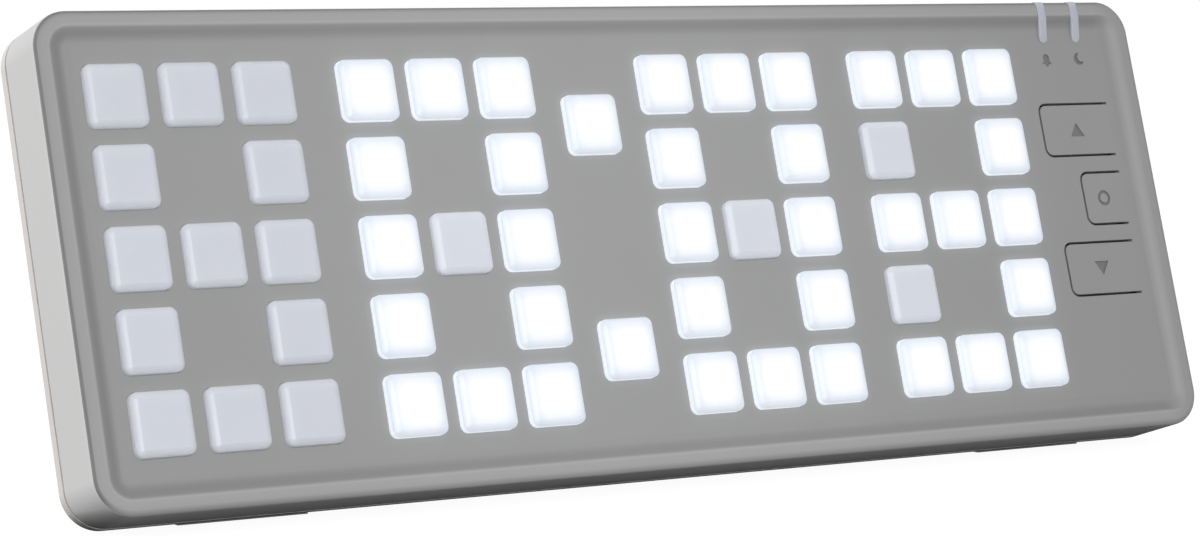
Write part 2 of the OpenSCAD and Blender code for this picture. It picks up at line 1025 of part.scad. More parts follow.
module stand_pin() {
    color("#b9bcc0")
    lean_back()
        translate([0, pivot_y, pivot_z])
            rotate([0, 90, 0])
                cylinder(r = pin_r, h = stand_w + 2 * (play + pin_in), center = true);
}

module stand_pad() {
    out = body_d - pivot_y;
    color("#3a3a3c")
    leg_frame() {
        block(tip_r - stand_w / 2, stand_w / 2 - tip_r, out - stand_t, out, -leg_l, pad_h - leg_l);
        translate([0, leg_out, -leg_l])
            rotate([0, 90, 0])
                cylinder(r = pad_r, h = stand_w - 2 * tip_r, center = true);
    }
}

module base_pads() {
    color("#3a3a3c")
    intersection() {
        lean_back()
            pad_block();
        block(-body_w, body_w, -body_h, body_h, 0, body_h);
    }
}

module cross_slot(r, y0, y1) {
    block(-r, r, y0, y1, -slot_half, slot_half);
    block(-slot_half, slot_half, y0, y1, -r, r);
}

module case_screws() {
    color("#8f9296")
    lean_back()
        at_points(case_points)
            difference() {
                union() {
                    peg(screw_r, board_front, body_d - head_deep + 0.1);
                    peg(head_r, body_d - head_deep, body_d - head_fit);
                }
                cross_slot(head_r - 0.6, body_d - 0.7, body_d + 1);
            }
}

module board_screws() {
    color("#8f9296")
    lean_back()
        at_points(board_points)
            difference() {
                union() {
                    peg(screw_r, panel_back + 1.2, board_back + 0.2);
                    peg(head_r, board_back, board_back + 1);
                }
                cross_slot(head_r - 0.6, board_back + 0.5, board_back + 2);
            }
}

front_housing();
rear_cover();
hour_tens_windows();
hour_units_windows();
colon_windows();
minute_tens_windows();
minute_units_windows();
light_shield();
main_board();
display_leds();
indicator_leds();
alarm_light_pipe();
snooze_light_pipe();
up_button();
mode_button();
down_button();
switch_bodies();
up_plunger();
mode_plunger();
down_plunger();
clock_chip();
driver_chips();
crystal();
capacitors();
buzzer();
power_socket();
power_tongue();
cell_holder();
cell_clip();
coin_cell();
battery_door();
stand();
stand_pin();
stand_pad();
base_pads();
case_screws();
board_screws();
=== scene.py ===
import json
import math
import bpy
from mathutils import Matrix, Vector


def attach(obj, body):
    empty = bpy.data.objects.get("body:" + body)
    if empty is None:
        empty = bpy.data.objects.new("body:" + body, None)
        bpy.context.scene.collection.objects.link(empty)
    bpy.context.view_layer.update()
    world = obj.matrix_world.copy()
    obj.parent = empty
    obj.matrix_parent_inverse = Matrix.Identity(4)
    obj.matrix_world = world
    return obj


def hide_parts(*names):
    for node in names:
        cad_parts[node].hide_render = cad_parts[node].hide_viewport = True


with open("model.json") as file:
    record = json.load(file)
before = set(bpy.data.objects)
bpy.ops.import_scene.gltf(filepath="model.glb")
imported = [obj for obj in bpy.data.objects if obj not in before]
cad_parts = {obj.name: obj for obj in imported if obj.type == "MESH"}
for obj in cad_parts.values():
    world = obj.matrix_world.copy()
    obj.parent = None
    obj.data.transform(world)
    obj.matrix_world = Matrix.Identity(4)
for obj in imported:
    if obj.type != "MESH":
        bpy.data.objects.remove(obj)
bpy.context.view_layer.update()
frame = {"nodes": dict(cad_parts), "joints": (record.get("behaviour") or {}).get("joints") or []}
mm = 0.001
print("frame loaded")

# slab frame, in mm: x right, y back from the rim, z up the face
slab = {
    "width": 230.0, "height": 83.5, "depth": 15.0, "corner": 6.5, "cornerSteps": 16, "edge": 1.2,
    "wall": 2.0, "panel": 1.0, "panelBack": 2.6, "part": 11.9, "jointGap": 0.4,
    "hingeX": 107.05, "hingeDepth": 1.7, "hingeZ": 2.95,
    "underFrom": -35.5, "underOver": 6.0, "rooted": 0.2,
}
near = 0.01  # places this close count as one
turn = {"facing": 0.9, "flat": 0.95, "back": 0.5, "wall": 0.3, "square": 0.1}  # share of a normal along y
facets = {"clapper": 16, "sound": 20, "small": 24, "bore": 32, "head": 40, "usual": 48, "lid": 96}

joints = {joint["name"]: joint for joint in frame["joints"]}
hingeAxis = joints["mode_press"]["axis"]
lean = math.atan2(-hingeAxis[1], -hingeAxis[2])
slabTurn = Matrix.Rotation(-lean, 4, "X")
hingeInSlab = Vector((slab["hingeX"], slab["hingeDepth"], slab["hingeZ"])) * mm
slabPlace = Matrix.Translation(Vector(joints["mode_press"]["pos_m"]) - slabTurn @ hingeInSlab) @ slabTurn


def clearSelection():
    if bpy.context.object and bpy.context.object.mode != "OBJECT":
        bpy.ops.object.mode_set(mode="OBJECT")
    bpy.ops.object.select_all(action="DESELECT")


def workOn(piece):
    clearSelection()
    piece.select_set(True)
    bpy.context.view_layer.objects.active = piece


def dropMarks(mesh):
    for group in (mesh.vertices, mesh.edges, mesh.polygons):
        group.foreach_set("select", [False] * len(group))


def openVerts(piece, wanted):
    workOn(piece)
    bpy.context.tool_settings.mesh_select_mode = (True, False, False)
    dropMarks(piece.data)
    for vert in piece.data.vertices:
        vert.select = wanted(vert.co / mm)
    bpy.ops.object.mode_set(mode="EDIT")


def openFaces(piece, wanted):
    workOn(piece)
    bpy.context.tool_settings.mesh_select_mode = (False, False, True)
    dropMarks(piece.data)
    for face in piece.data.polygons:
        face.select = wanted(face.center / mm, face.normal)
    bpy.ops.object.mode_set(mode="EDIT")


def openEdges(piece, wanted):
    workOn(piece)
    bpy.context.tool_settings.mesh_select_mode = (False, True, False)
    mesh = piece.data
    dropMarks(mesh)
    normals = {}
    for face in mesh.polygons:
        for key in face.edge_keys:
            normals.setdefault(key, []).append(face.normal.copy())
    for edge in mesh.edges:
        a, b = (mesh.vertices[i].co / mm for i in edge.vertices)
        edge.select = len(normals.get(edge.key, [])) == 2 and wanted(a, b, *normals[edge.key])
    bpy.ops.object.mode_set(mode="EDIT")


def facesBack(centre, normal):
    return normal.y > turn["facing"]


def facesFront(centre, normal):
    return normal.y < -turn["facing"]


def faceOut(piece):
    openFaces(piece, lambda centre, normal: True)
    bpy.ops.mesh.normals_make_consistent(inside=False)
    bpy.ops.object.mode_set(mode="OBJECT")


def plate(name, size, radius, start, end, centre=(0, 0), steps=8, corners=None):
    clearSelection()  # outline at depth start, pulled to depth end, end face left selected
    bpy.ops.mesh.primitive_plane_add(
        size=1, location=(centre[0] * mm, start * mm, centre[1] * mm),
        rotation=(math.radians(90 if end < start else -90), 0, 0))
    piece = bpy.context.object
    piece.name = name
    piece.scale = (size[0] * mm, size[1] * mm, 1)
    bpy.ops.object.transform_apply(location=True, rotation=True, scale=True)
    openVerts(piece, corners or (lambda co: True))
    bpy.ops.mesh.bevel(offset=radius * mm, segments=steps, affect="VERTICES")
    bpy.ops.mesh.select_all(action="SELECT")
    pull(end - start)
    return piece


def pull(depth):
    bpy.ops.mesh.extrude_region_move(TRANSFORM_OT_translate={"value": (0, depth * mm, 0)})


def stepIn(profile):
    for inward, outward in profile:  # one inset per pair, in mm
        bpy.ops.mesh.inset(thickness=inward * mm, depth=outward * mm, use_even_offset=True)


def rollOver(width, height, steps):
    angles = [math.pi / 2 * k / steps for k in range(steps + 1)]
    return [(width * (math.cos(a) - math.cos(b)), height * (math.sin(b) - math.sin(a)))
            for a, b in zip(angles, angles[1:])]


def pillowEdge(width, full, bend, steps):
    first, last = math.asin(full / bend), math.asin((full - width) / bend)
    angles = [first + (last - first) * k / steps for k in range(steps + 1)]
    return [(bend * (math.sin(a) - math.sin(b)), bend * (math.cos(b) - math.cos(a)))
            for a, b in zip(angles, angles[1:])]


def block(name, low, high):
    clearSelection()
    bpy.ops.mesh.primitive_cube_add(size=1, location=[(a + b) / 2 * mm for a, b in zip(low, high)])
    piece = bpy.context.object
    piece.name = name
    piece.scale = [(b - a) * mm for a, b in zip(low, high)]
    bpy.ops.object.transform_apply(location=True, rotation=True, scale=True)
    return piece


def rod(name, radius, length, middle, turned, sides):
    clearSelection()
    bpy.ops.mesh.primitive_cylinder_add(
        vertices=sides, radius=radius * mm, depth=length * mm,
        location=[c * mm for c in middle], rotation=turned)
    piece = bpy.context.object
    piece.name = name
    bpy.ops.object.transform_apply(location=True, rotation=True, scale=True)
    return piece


def peg(name, radius, start, end, centre, sides=facets["usual"]):
    middle = (centre[0], (start + end) / 2, centre[1])
    return rod(name, radius, abs(end - start), middle, (math.pi / 2, 0, 0), sides)


def crossRod(name, radius, length, depth, height, sides=facets["usual"]):
    return rod(name, radius, length, (0, depth, height), (0, math.pi / 2, 0), sides)


def copyTo(piece, x, z):
    twin = piece.copy()
    twin.data = piece.data.copy()
    twin.data.transform(Matrix.Translation((x * mm, 0, z * mm)))
    bpy.context.collection.objects.link(twin)
    return twin


def joinAll(pieces, name):
    workOn(pieces[0])
    for piece in pieces:
        piece.select_set(True)
    bpy.ops.object.join()
    pieces[0].name = name
    return pieces[0]


def boolean(piece, tool, kind="DIFFERENCE"):
    faceOut(tool)
    faceOut(piece)
    cut = piece.modifiers.new("cut", "BOOLEAN")
    cut.operation = kind
    cut.solver = "EXACT"
    cut.object = tool
    workOn(piece)
    bpy.ops.object.modifier_apply(modifier=cut.name)
    bpy.data.objects.remove(tool)


def soften(piece, wanted, width, steps=2):
    openEdges(piece, wanted)
    bpy.ops.mesh.bevel(offset=width * mm, segments=steps, affect="EDGES")
    bpy.ops.object.mode_set(mode="OBJECT")


def settle(piece, body, node, place=slabPlace, angle=35):
    faceOut(piece)
    piece.matrix_world = place
    workOn(piece)
    bpy.ops.object.transform_apply(location=True, rotation=True, scale=True)
    bpy.ops.object.shade_smooth_by_angle(angle=math.radians(angle))
    even = piece.modifiers.new("even", "WEIGHTED_NORMAL")
    even.keep_sharp = True
    bpy.ops.object.modifier_apply(modifier=even.name)
    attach(piece, body)
    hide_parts(node)


def fromEdge(co):
    pastX = abs(co.x) - slab["width"] / 2 + slab["corner"]
    pastZ = abs(co.z) - slab["height"] / 2 + slab["corner"]
    outside = math.hypot(max(pastX, 0), max(pastZ, 0))
    return slab["corner"] - outside - min(max(pastX, pastZ), 0)


def turnedUnder(co):
    return min(max((slab["underFrom"] - co.z) / slab["underOver"], 0), 1)


def paint(piece, finishes, choose):
    piece.data.materials.clear()
    for finish in finishes:
        piece.data.materials.append(finish)
    for face in piece.data.polygons:
        face.material_index = choose(face.center / mm, face.normal)


def srgb(red, green, blue):
    parts = [c / 255 for c in (red, green, blue)]
    return tuple(c / 12.92 if c <= 0.04045 else ((c + 0.055) / 1.055) ** 2.4 for c in parts) + (1.0,)


def newMaterial(name):
    material = bpy.data.materials.new(name)
    material.use_nodes = True
    nodes = material.node_tree.nodes
    return material, nodes, material.node_tree.links, nodes["Principled BSDF"]


def wiring(material):
    return material.node_tree.nodes, material.node_tree.links


# shared grain of moulded, rolled and plated surfaces
grainFacts = {
    "fine": 2500.0, "broad": 40.0, "relief": 0.1, "fineDetail": 3, "broadDetail": 4, "deep": 0.0001,
    "speckShare": 0.35, "low": 0.4, "high": 0.95,
}
grainGroup = bpy.data.node_groups.new("grain", "ShaderNodeTree")
grainGroup.interface.new_socket("Vector", in_out="INPUT", socket_type="NodeSocketVector")
for socketName in ("Fine", "Broad", "Relief"):
    socket = grainGroup.interface.new_socket(socketName, in_out="INPUT", socket_type="NodeSocketFloat")
    socket.default_value = grainFacts[socketName.lower()]
for socketName in ("Speck", "Cloud"):
    grainGroup.interface.new_socket(socketName, in_out="OUTPUT", socket_type="NodeSocketFloat")
grainGroup.interface.new_socket("Normal", in_out="OUTPUT", socket_type="NodeSocketVector")
gNodes, gLinks = grainGroup.nodes, grainGroup.links
gIn = gNodes.new("NodeGroupInput")
gOut = gNodes.new("NodeGroupOutput")
gFine = gNodes.new("ShaderNodeTexNoise")
gBroad = gNodes.new("ShaderNodeTexNoise")
gBump = gNodes.new("ShaderNodeBump")
gFine.inputs["Detail"].default_value = grainFacts["fineDetail"]
gBroad.inputs["Detail"].default_value = grainFacts["broadDetail"]
gBump.inputs["Distance"].default_value = grainFacts["deep"]
gLinks.new(gIn.outputs["Vector"], gFine.inputs["Vector"])
gLinks.new(gIn.outputs["Vector"], gBroad.inputs["Vector"])
gLinks.new(gIn.outputs["Fine"], gFine.inputs["Scale"])
gLinks.new(gIn.outputs["Broad"], gBroad.inputs["Scale"])
gLinks.new(gIn.outputs["Relief"], gBump.inputs["Strength"])
gLinks.new(gFine.outputs["Fac"], gBump.inputs["Height"])
gLinks.new(gFine.outputs["Fac"], gOut.inputs["Speck"])
gLinks.new(gBroad.outputs["Fac"], gOut.inputs["Cloud"])
gLinks.new(gBump.outputs["Normal"], gOut.inputs["Normal"])


def grainedMaterial(name, dark, light, rough, fine=grainFacts["fine"], broad=grainFacts["broad"],
                    relief=grainFacts["relief"], metal=0.0, gloss=0.5):
    material, nodes, links, shader = newMaterial(name)
    where = nodes.new("ShaderNodeTexCoord")
    grain = nodes.new("ShaderNodeGroup")
    grain.node_tree = grainGroup
    grain.inputs["Fine"].default_value = fine
    grain.inputs["Broad"].default_value = broad
    grain.inputs["Relief"].default_value = relief
    links.new(where.outputs["Object"], grain.inputs["Vector"])
    both = nodes.new("ShaderNodeMath")
    both.operation = "MULTIPLY_ADD"
    both.inputs[1].default_value = grainFacts["speckShare"]
    links.new(grain.outputs["Speck"], both.inputs[0])
    links.new(grain.outputs["Cloud"], both.inputs[2])
    spread = nodes.new("ShaderNodeMapRange")
    spread.inputs["From Min"].default_value = grainFacts["low"]
    spread.inputs["From Max"].default_value = grainFacts["high"]
    links.new(both.outputs[0], spread.inputs["Value"])
    tone = nodes.new("ShaderNodeMix")
    tone.data_type = "RGBA"
    tone.inputs["A"].default_value = dark
    tone.inputs["B"].default_value = light
    links.new(spread.outputs["Result"], tone.inputs["Factor"])
    links.new(tone.outputs["Result"], shader.inputs["Base Color"])
    sheen = nodes.new("ShaderNodeMapRange")
    sheen.inputs["To Min"].default_value = rough[0]
    sheen.inputs["To Max"].default_value = rough[1]
    links.new(grain.outputs["Speck"], sheen.inputs["Value"])
    links.new(sheen.outputs["Result"], shader.inputs["Roughness"])
    links.new(grain.outputs["Normal"], shader.inputs["Normal"])
    shader.inputs["Metallic"].default_value = metal
    shader.inputs["Specular IOR Level"].default_value = gloss
    return material


casePlastic = grainedMaterial("casePlastic", srgb(147, 147, 147), srgb(152, 152, 152), (0.5, 0.62),
                              relief=0.12)
markPaint = grainedMaterial("markPaint", srgb(111, 111, 112), srgb(119, 119, 120), (0.5, 0.6))
blackPlastic = grainedMaterial("blackPlastic", srgb(28, 28, 30), srgb(40, 40, 42), (0.45, 0.6))
boardLaminate = grainedMaterial("boardLaminate", srgb(38, 92, 58), srgb(50, 110, 72), (0.3, 0.45), broad=90)
lampResin = grainedMaterial("lampResin", srgb(236, 222, 160), srgb(246, 234, 180), (0.3, 0.4))
plungerPlastic = grainedMaterial("plungerPlastic", srgb(190, 188, 183), srgb(204, 202, 198), (0.4, 0.5))
platedMetal = grainedMaterial("platedMetal", srgb(178, 180, 184), srgb(196, 198, 202), (0.2, 0.32), metal=1.0)
canMetal = grainedMaterial("canMetal", srgb(150, 153, 158), srgb(170, 173, 178), (0.28, 0.4), metal=1.0)
screwMetal = grainedMaterial("screwMetal", srgb(120, 122, 126), srgb(142, 144, 148), (0.28, 0.42), metal=1.0)
padRubber = grainedMaterial("padRubber", srgb(104, 104, 105), srgb(116, 116, 117), (0.7, 0.85), relief=0.3)
coverPlastic = grainedMaterial("coverPlastic", srgb(217, 213, 210), srgb(221, 217, 214), (0.6, 0.74),
                               relief=0.13, gloss=0.25)


def toneRamp(nodes, links, fac, span, tones):
    ramp = nodes.new("ShaderNodeValToRGB")
    while len(ramp.color_ramp.elements) < len(tones):
        ramp.color_ramp.elements.new(1.0)
    for stop, (at, tone) in zip(ramp.color_ramp.elements, tones):
        stop.position = at / span
        stop.color = srgb(tone, tone, tone)
    links.new(fac, ramp.inputs["Fac"])
    return ramp.outputs["Color"]


def readAttribute(nodes, links, name, span):
    reader = nodes.new("ShaderNodeAttribute")
    reader.attribute_name = name
    along = nodes.new("ShaderNodeMapRange")
    along.inputs["From Max"].default_value = span
    links.new(reader.outputs["Fac"], along.inputs["Value"])
    return along.outputs["Result"]


def mixColours(nodes, links, factor, first, second):
    mix = nodes.new("ShaderNodeMix")
    mix.data_type = "RGBA"
    links.new(factor, mix.inputs["Factor"])
    for socketName, colour in (("A", first), ("B", second)):
        if isinstance(colour, tuple):
            mix.inputs[socketName].default_value = colour
        else:
            links.new(colour, mix.inputs[socketName])
    return mix.outputs["Result"]


def multiplyTone(nodes, links, colour):
    base = nodes["Principled BSDF"].inputs["Base Color"]
    over = nodes.new("ShaderNodeMix")
    over.data_type = "RGBA"
    over.blend_type = "MULTIPLY"
    over.inputs["Factor"].default_value = 1.0
    links.new(colour, over.inputs["A"])
    links.new(base.links[0].from_socket, over.inputs["B"])
    links.new(over.outputs["Result"], base)


# front of the case: grain over painted shade and highlight that follow the distance in from the outline, in
# mm: a painted dark line on the outer rounding, a painted highlight at the rim's inner edge and painted shade
# down the slope into the panel
rimPaintedShading = (
    (0.0, 128), (0.3, 114), (0.42, 118), (0.62, 146), (1.1, 158), (1.7, 160), (2.25, 161), (2.5, 168),
    (2.7, 158), (2.9, 142), (3.15, 133), (3.9, 133), (4.6, 139), (5.3, 147), (6.0, 149.5),
)
# right end: its outer rounding painted less dark and its slope painted lighter, as the light from the left
# falls there
rightPaintedShading = (
    (0.0, 132), (0.3, 130), (0.42, 132), (0.62, 142), (1.1, 150), (1.7, 152), (2.3, 151), (2.65, 152),
    (2.9, 154), (3.2, 157), (3.9, 158), (4.6, 153), (5.3, 149), (6.0, 149.5),
)
toneSpan = rimPaintedShading[-1][0]
rimPlastic = grainedMaterial("rimPlastic", (0.965, 0.965, 0.965, 1), (1, 1, 1, 1), (0.48, 0.6), relief=0.12)
rimNodes, rimLinks = wiring(rimPlastic)
inward = readAttribute(rimNodes, rimLinks, "inward", toneSpan)
multiplyTone(rimNodes, rimLinks, mixColours(
    rimNodes, rimLinks, readAttribute(rimNodes, rimLinks, "toRight", 1.0),
    toneRamp(rimNodes, rimLinks, inward, toneSpan, rimPaintedShading),
    toneRamp(rimNodes, rimLinks, inward, toneSpan, rightPaintedShading)))

# painted glow on the panel: a pool of emission standing for the light that the lit windows spill over it, in
# m
spill = {
    "middle": (-0.01, 0.0, 0.05), "reach": (0.125, 0.3, 0.12), "full": 0.9,
    "none": (0.0, 0.0, 0.0, 1.0), "colour": (0.042, 0.042, 0.043, 1.0),
}
around = rimNodes.new("ShaderNodeTexCoord")
placed = rimNodes.new("ShaderNodeMapping")
placed.vector_type = "TEXTURE"
placed.inputs["Location"].default_value = spill["middle"]
placed.inputs["Scale"].default_value = spill["reach"]
rimLinks.new(around.outputs["Object"], placed.inputs["Vector"])
pool = rimNodes.new("ShaderNodeTexGradient")
pool.gradient_type = "SPHERICAL"
rimLinks.new(placed.outputs["Vector"], pool.inputs["Vector"])
soft = rimNodes.new("ShaderNodeMapRange")
soft.interpolation_type = "SMOOTHSTEP"
soft.inputs["From Max"].default_value = spill["full"]
rimLinks.new(pool.outputs["Fac"], soft.inputs["Value"])
spilled = mixColours(rimNodes, rimLinks, soft.outputs["Result"], spill["none"], spill["colour"])
rimLinks.new(spilled, rimNodes["Principled BSDF"].inputs["Emission Color"])
rimNodes["Principled BSDF"].inputs["Emission Strength"].default_value = 1.0


def sideMaterial(name, dark, light, tones):
    material = grainedMaterial(name, dark, light, (0.6, 0.74), relief=0.13, gloss=0.06)
    nodes, links = wiring(material)
    under = readAttribute(nodes, links, "under", 1.0)  # painted shade: darker where the wall turns under at the bottom
    multiplyTone(nodes, links, toneRamp(nodes, links, under, 1.0, tones))
    return material


# the side wall tones fall to painted shade where the walls turn under
sidePlastic = sideMaterial("sidePlastic", (0.965, 0.965, 0.96, 1), (1, 1, 0.995, 1),
                           ((0.0, 216), (0.3, 214), (0.5, 208), (0.65, 172), (1.0, 60)))
coverSide = sideMaterial("coverSide", (0.962, 0.925, 0.898, 1), (1, 0.962, 0.935, 1),
                         ((0.0, 228), (0.5, 216), (0.8, 150), (1.0, 80)))

milk = {
    "rough": (0.3, 0.38), "fine": 1500, "broad": 25, "relief": 0.02,
    "through": 0.85, "radius": (0.9, 0.95, 1.0), "scale": 0.0018,
    "unlit": (srgb(216, 219, 228), srgb(220, 223, 232)),
    "lit": (srgb(196, 203, 213), srgb(200, 207, 217)),
    "strip": (srgb(190, 194, 205), srgb(195, 199, 210)),
}


def milkyMaterial(name, tones, light=None, strength=1.0):
    material = grainedMaterial(name, *tones, milk["rough"], fine=milk["fine"], broad=milk["broad"],
                               relief=milk["relief"])
    shader = material.node_tree.nodes["Principled BSDF"]
    shader.inputs["Subsurface Weight"].default_value = milk["through"]
    shader.inputs["Subsurface Radius"].default_value = milk["radius"]
    shader.inputs["Subsurface Scale"].default_value = milk["scale"]
    if light:
        shader.inputs["Emission Color"].default_value = light
        shader.inputs["Emission Strength"].default_value = strength
    return material


stripMilk = milkyMaterial("stripMilk", milk["strip"])
windowDark = milkyMaterial("windowDark", milk["unlit"])
# painted glow: unlit windows in a lit digit get a faint emission standing for light from their lit neighbours
unlitPaintedGlow = milkyMaterial("unlitPaintedGlow", milk["unlit"], (0.95, 0.98, 1.0, 1.0), 0.07)
windowLit = milkyMaterial("windowLit", milk["lit"], (1.0, 1.0, 1.0, 1.0))
# side walls of the windows, lit from inside the milky plastic: the lit windows' walls glow with their lamp,
# the unlit windows' walls carry a painted glow
windowGlow = milkyMaterial("windowGlow", milk["lit"], (0.58, 0.61, 0.65, 1.0))
unlitWallPaintedGlow = milkyMaterial("unlitWallPaintedGlow", milk["unlit"], (0.14, 0.145, 0.155, 1.0))

# lamp behind a lit window: bright middle, cooler and weaker rim, from the plan drawn in the uv map
lamps = {
    "middle": (0.56, 0.53, 0.52, 1.0), "rim": (0.27, 0.29, 0.31, 1.0),
    "even": 0.18, "fadeFrom": 0.04, "fadeTo": 0.36,
}
litNodes, litLinks = wiring(windowLit)
planMap = litNodes.new("ShaderNodeUVMap")
planMap.uv_map = "plan"
reach = planMap.outputs["UV"]
for operation, by in (("SUBTRACT", (0.5, 0.5, 0.0)), ("ABSOLUTE", None),
                      ("SUBTRACT", (lamps["even"], lamps["even"], 0.0)), ("MAXIMUM", (0.0, 0.0, 0.0))):
    step = litNodes.new("ShaderNodeVectorMath")
    step.operation = operation
    if by:
        step.inputs[1].default_value = by
    litLinks.new(reach, step.inputs[0])
    reach = step.outputs[0]
away = litNodes.new("ShaderNodeVectorMath")
away.operation = "LENGTH"
litLinks.new(reach, away.inputs[0])
fade = litNodes.new("ShaderNodeMapRange")
fade.interpolation_type = "SMOOTHSTEP"
fade.inputs["From Min"].default_value = lamps["fadeFrom"]
fade.inputs["From Max"].default_value = lamps["fadeTo"]
litLinks.new(away.outputs["Value"], fade.inputs["Value"])
shine = mixColours(litNodes, litLinks, fade.outputs["Result"], lamps["middle"], lamps["rim"])
litLinks.new(shine, litNodes["Principled BSDF"].inputs["Emission Color"])
print("materials ready")

digits = {
    "side": 10.7, "corner": 1.4, "steps": 7, "edge": 1.3, "pillow": 1.7, "bend": 2.64,
    "front": -0.5, "back": 3.0, "fit": 0.04, "holeFrom": 4, "holeTo": -2, "pitch": 13.6,
    "plateFront": 2.6, "plateBack": 3.4, "plateMargin": 1.8, "plateCorner": 1.0, "plateSteps": 4,
    "firstX": (-101.7, -54.9, 5.4, 52.2),
    "pieces": ("hourTensWindows", "hourUnitsWindows", "minuteTensWindows", "minuteUnitsWindows"),
    "nodes": ("hour_tens_windows", "hour_units_windows", "minute_tens_windows", "minute_units_windows"),
    "unlit": ("all", [(1, 0)], [(1, 0)], [(0, 1), (0, -1)]),
}
cells = [(c, r) for c in range(3) for r in range(-2, 3) if c != 1 or abs(r) != 1]  # column, row
colon = {"x": -11.15, "z": (20.128, -20.128)}

padEdge = pillowEdge(digits["edge"], digits["pillow"], digits["bend"], digits["steps"])
padRise = sum(outward for inset, outward in padEdge)
pad = plate("pad", (digits["side"], digits["side"]), digits["corner"], digits["back"],
            digits["front"] + padRise, steps=digits["steps"])
stepIn(padEdge)
faceOut(pad)
for face in pad.data.polygons:
    face.material_index = int(abs(face.normal.y) < turn["wall"])
planLayer = pad.data.uv_layers.new(name="plan")
for loop in pad.data.loops:
    spot = pad.data.vertices[loop.vertex_index].co / (digits["side"] * mm)
    planLayer.data[loop.index].uv = (spot.x + 0.5, spot.z + 0.5)


def windowPiece(name, spots, width, height, middle, node):
    parts = []
    for x, z, finish in spots:
        window = copyTo(pad, x, z)
        window.data.materials.append(finish)
        window.data.materials.append(windowGlow if finish == windowLit else unlitWallPaintedGlow)
        parts.append(window)
    size = (width + digits["side"] + digits["plateMargin"], height + digits["side"] + digits["plateMargin"])
    carrier = plate(name + "Carrier", size, digits["plateCorner"],
                    digits["plateBack"], digits["plateFront"], centre=middle, steps=digits["plateSteps"])
    clearSelection()
    carrier.data.materials.append(windowDark)
    settle(joinAll(parts + [carrier], name), "case", node)


def windowFinish(cell, unlit):
    if unlit == "all":
        return windowDark
    return unlitPaintedGlow if cell in unlit else windowLit


for i, firstX in enumerate(digits["firstX"]):
    spots = [(firstX + c * digits["pitch"], r * digits["pitch"], windowFinish((c, r), digits["unlit"][i]))
             for c, r in cells]
    windowPiece(digits["pieces"][i], spots, 2 * digits["pitch"], 4 * digits["pitch"],
                (firstX + digits["pitch"], 0), digits["nodes"][i])
colonSpots = [(colon["x"], z, windowLit) for z in colon["z"]]
windowPiece("colonWindows", colonSpots, 0, 2 * colon["z"][0], (colon["x"], 0), "colon_windows")
print("windows done")

tabs = {
    "rows": (16.55, 2.95, -10.65), "lengths": (17.05, 9.95, 17.05), "height": 10.55, "slot": 0.4,
    "corner": 1.8, "cornerSteps": 6, "soft": 0.16, "sink": 0.25, "markOut": 1, "markClear": 3,
    "posts": (95.55, 100.85, 95.55), "postR": 1.3, "postEnd": 3.8, "postSoft": 0.2,
    "web": 0.7, "webLength": 2.0, "gapOver": 1, "gapBack": 4, "gapZ": 8,
    "ring": (1.5, 0.9), "arrow": (1.7, 1.35), "arrowTip": 0.001,
    "pieces": ("upTab", "modeTab", "downTab"), "nodes": ("up_button", "mode_button", "down_button"),
    "bodies": ("up_tab", "mode_tab", "down_tab"),
}
strips = {
    "x": (94.25, 102.25), "width": 1.8, "low": 33.75, "back": 4.5, "fit": 0.05,
    "bed": (3.6, -1), "hook": 3, "over": 2,
}
symbols = {
    "z": 30.55, "front": 0.2, "back": slab["panel"] + tabs["sink"],
    "dome": 0.75, "domeUp": 0.3, "clapper": 0.35, "clapperDown": 1.1,
    "bellParts": (((-0.75, -0.7), (0.75, 0.3)), ((-1.1, -0.95), (1.1, -0.65))),
    "moon": 1.2, "bite": 0.95, "biteAt": (0.7, 0.35), "biteDepth": (0, 2), "cornerAt": (92, 29),
}
shell = {
    "edge": 1.0, "edgeSteps": 8, "rimFlat": 2.2, "holeSoft": 0.12, "partSoft": 0.15, "outer": 0.985,
    "sideTo": 0.1, "underFront": 0.62, "noLine": 0.8, "rightFrom": 107.0, "rightOver": 5.0,
    "slope": ((2.45, 0.015), (2.7, 0.06), (2.95, 0.13), (3.2, 0.2), (3.4, 0.25), (3.65, 0.35), (3.95, 0.5),
              (4.25, 0.65), (4.55, 0.78), (4.85, 0.88), (5.12, 0.95), (5.4, 1.0)),
    "postR": 2.1, "boreR": 0.95, "boreDeep": 4.0, "boreFloor": 0.8,
    "casePostEnd": 13.0, "boardPostEnd": 7.0,
    "casePosts": [(x, z) for x in (-108.6, -50, 50, 108.6) for z in (-36, 36)],
    "boardPosts": [(-64.7, 20.4), (-64.7, -20.4), (42.4, 20.4), (42.4, -20.4), (102.05, -27.2)],
}


def tabOutline(name, i, inset, corner, start, end):
    length = tabs["lengths"][i] - inset
    middle = slab["hingeX"] - length / 2
    return plate(name, (length, tabs["height"] - 2 * inset), corner, start, end,
                 centre=(middle, tabs["rows"][i]), steps=tabs["cornerSteps"],
                 corners=lambda co: co.x < middle)


front = plate("frontShell", (slab["width"], slab["height"]), slab["corner"], slab["part"], shell["edge"],
              steps=slab["cornerSteps"])
stepIn(rollOver(shell["edge"], shell["edge"], shell["edgeSteps"]))
stepIn([(shell["rimFlat"] - shell["edge"], 0)])
lastIn, lastDeep = shell["rimFlat"], 0.0
for inwards, deep in shell["slope"]:
    stepIn([(inwards - lastIn, lastDeep - deep)])
    lastIn, lastDeep = inwards, deep
openFaces(front, facesBack)
stepIn([(slab["wall"], 0)])
pull(slab["panelBack"] - slab["part"])
clearSelection()

